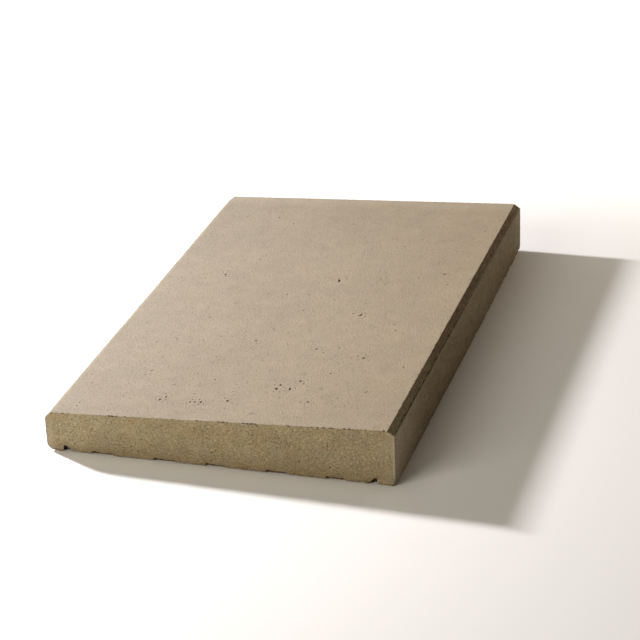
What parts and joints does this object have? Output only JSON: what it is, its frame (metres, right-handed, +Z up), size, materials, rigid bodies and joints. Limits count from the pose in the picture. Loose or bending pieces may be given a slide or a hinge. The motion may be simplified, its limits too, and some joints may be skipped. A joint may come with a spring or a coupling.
{
  "type": "coping stone",
  "caption": "Rectangular concrete wall coping whose top falls to one side, with chamfered long edges and a drip groove under each overhang.",
  "frame": {"origin": "middle of the bed, the underside that lies on the wall", "axes": "+Z up; +X across the wall, from the low edge to the high edge; +Y along the wall, the length of the stone"},
  "size_m": [0.3, 0.5, 0.0497],
  "materials": {
    "concrete": "matt buff pressed concrete, finely sanded, with small air pits and crumbled lower arrises"
  },
  "bodies": {
    "root": {"coping_stone": "concrete"}
  },
  "joints": []
}
